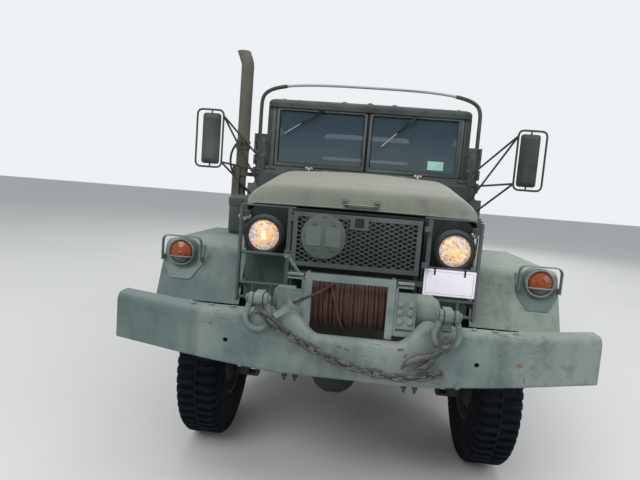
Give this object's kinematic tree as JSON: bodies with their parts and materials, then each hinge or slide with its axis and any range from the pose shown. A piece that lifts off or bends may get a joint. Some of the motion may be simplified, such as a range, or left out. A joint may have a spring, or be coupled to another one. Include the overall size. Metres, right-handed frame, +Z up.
{
  "type": "military cargo truck",
  "caption": "Six-wheel-drive military cargo truck with a front winch, steel hard cab, open cargo bed with side racks, opening hood, doors and tailgate.",
  "frame": {"origin": "on the ground under the middle of the truck's length and width", "axes": "+Z up, +Y to the rear along the truck, +X to the driver's side (the truck's left)"},
  "size_m": [2.516, 7.0978, 2.73],
  "materials": {
    "olive_body": "faded matte olive paint with rust at the edges",
    "faded_green": "chalky grey-green paint, scratched, with rust spots",
    "frame_paint": "dark matte paint with road dirt",
    "wheel_paint": "matte olive paint",
    "tyre_rubber": "dusty black rubber",
    "rusty_steel": "brown rust",
    "bare_steel": "galvanised",
    "rack_wood": "painted boards, worn",
    "bow_paint": "dark steel ends, pale wooden middle",
    "clear_glass": "clear",
    "amber_glass": "amber plastic lens",
    "plate_white": "blank white",
    "seat_fabric": "canvas covered cushion",
    "wiper_black": "black painted arm"
  },
  "bodies": {
    "truck": {"engine_side_panels": "olive_body", "cowl": "olive_body", "hard_top": "olive_body", "windshield_frame": "olive_body", "cab_floor": "olive_body", "air_cleaner": "olive_body", "exhaust_stack": "olive_body", "mirrors": "olive_body", "bed_walls": "olive_body", "side_boxes": "olive_body", "front_bumper": "faded_green", "front_fenders": "faded_green", "winch": "faded_green", "brush_guard": "faded_green", "grille_shell": "faded_green", "tow_shackles": "faded_green", "lamp_housings": "faded_green", "class_disc": "faded_green", "mesh_screen": "faded_green", "chassis_frame": "frame_paint", "front_suspension": "frame_paint", "rear_suspension": "frame_paint", "powertrain": "frame_paint", "bed_floor": "frame_paint", "pintle_hook": "frame_paint", "cab_interior": "frame_paint", "spare_rim": "wheel_paint", "spare_tyre": "tyre_rubber", "bumper_chain": "rusty_steel", "winch_rope": "rusty_steel", "rope_clevis": "bare_steel", "side_racks": "rack_wood", "bow": "bow_paint", "cab_glass": "clear_glass", "headlight_lenses": "clear_glass", "signal_lenses": "amber_glass", "licence_plate": "plate_white", "seat_cushions": "seat_fabric", "wipers": "wiper_black"},
    "knuckle_left": {"knuckle_left": "frame_paint"},
    "knuckle_right": {"knuckle_right": "frame_paint"},
    "tie_rod": {"tie_rod": "frame_paint"},
    "front_wheel_left": {"front_tyre_left": "tyre_rubber", "front_rim_left": "wheel_paint"},
    "front_wheel_right": {"front_tyre_right": "tyre_rubber", "front_rim_right": "wheel_paint"},
    "fore_wheels_left": {"fore_tyres_left": "tyre_rubber", "fore_rims_left": "wheel_paint"},
    "fore_wheels_right": {"fore_tyres_right": "tyre_rubber", "fore_rims_right": "wheel_paint"},
    "aft_wheels_left": {"aft_tyres_left": "tyre_rubber", "aft_rims_left": "wheel_paint"},
    "aft_wheels_right": {"aft_tyres_right": "tyre_rubber", "aft_rims_right": "wheel_paint"},
    "hood": {"hood": "olive_body"},
    "door_left": {"door_left": "olive_body", "door_glass_left": "clear_glass"},
    "door_right": {"door_right": "olive_body", "door_glass_right": "clear_glass"},
    "tailgate": {"tailgate": "olive_body"}
  },
  "joints": [
    {"name": "steer_left", "type": "hinge", "parent": "truck", "child": "knuckle_left", "pos_m": [0.7, -2.3761, 0.515], "axis": [0, 0, 1], "range_deg": [-28, 28]},
    {"name": "steer_right", "type": "hinge", "parent": "truck", "child": "knuckle_right", "pos_m": [-0.7, -2.3761, 0.515], "axis": [0, 0, 1], "range_deg": [-28, 28]},
    {"name": "tie_rod_pivot", "type": "hinge", "parent": "knuckle_right", "child": "tie_rod", "pos_m": [-0.7, -2.1661, 0.3767], "axis": [0, 0, 1], "range_deg": [-28, 28]},
    {"name": "front_wheel_left_spin", "type": "hinge", "parent": "knuckle_left", "child": "front_wheel_left", "pos_m": [0.862, -2.3761, 0.515], "axis": [1, 0, 0], "continuous": true},
    {"name": "front_wheel_right_spin", "type": "hinge", "parent": "knuckle_right", "child": "front_wheel_right", "pos_m": [-0.862, -2.3761, 0.515], "axis": [1, 0, 0], "continuous": true},
    {"name": "fore_wheels_left_spin", "type": "hinge", "parent": "truck", "child": "fore_wheels_left", "pos_m": [0.862, 0.9259, 0.515], "axis": [1, 0, 0], "continuous": true},
    {"name": "fore_wheels_right_spin", "type": "hinge", "parent": "truck", "child": "fore_wheels_right", "pos_m": [-0.862, 0.9259, 0.515], "axis": [1, 0, 0], "continuous": true},
    {"name": "aft_wheels_left_spin", "type": "hinge", "parent": "truck", "child": "aft_wheels_left", "pos_m": [0.862, 2.1459, 0.515], "axis": [1, 0, 0], "continuous": true},
    {"name": "aft_wheels_right_spin", "type": "hinge", "parent": "truck", "child": "aft_wheels_right", "pos_m": [-0.862, 2.1459, 0.515], "axis": [1, 0, 0], "continuous": true},
    {"name": "hood_lift", "type": "hinge", "parent": "truck", "child": "hood", "pos_m": [0, -1.6261, 1.78], "axis": [-1, 0, 0], "range_deg": [0, 58]},
    {"name": "door_left_swing", "type": "hinge", "parent": "truck", "child": "door_left", "pos_m": [0.811, -1.5101, 1.66], "axis": [0, 0, -1], "range_deg": [0, 72]},
    {"name": "door_right_swing", "type": "hinge", "parent": "truck", "child": "door_right", "pos_m": [-0.811, -1.5101, 1.66], "axis": [0, 0, 1], "range_deg": [0, 72]},
    {"name": "tailgate_drop", "type": "hinge", "parent": "truck", "child": "tailgate", "pos_m": [0, 3.5039, 1.292], "axis": [-1, 0, 0], "range_deg": [0, 90]}
  ],
  "couplings": [
    {"joint": "steer_right", "follows": "steer_left", "ratio": 1},
    {"joint": "tie_rod_pivot", "follows": "steer_left", "ratio": -1}
  ]
}
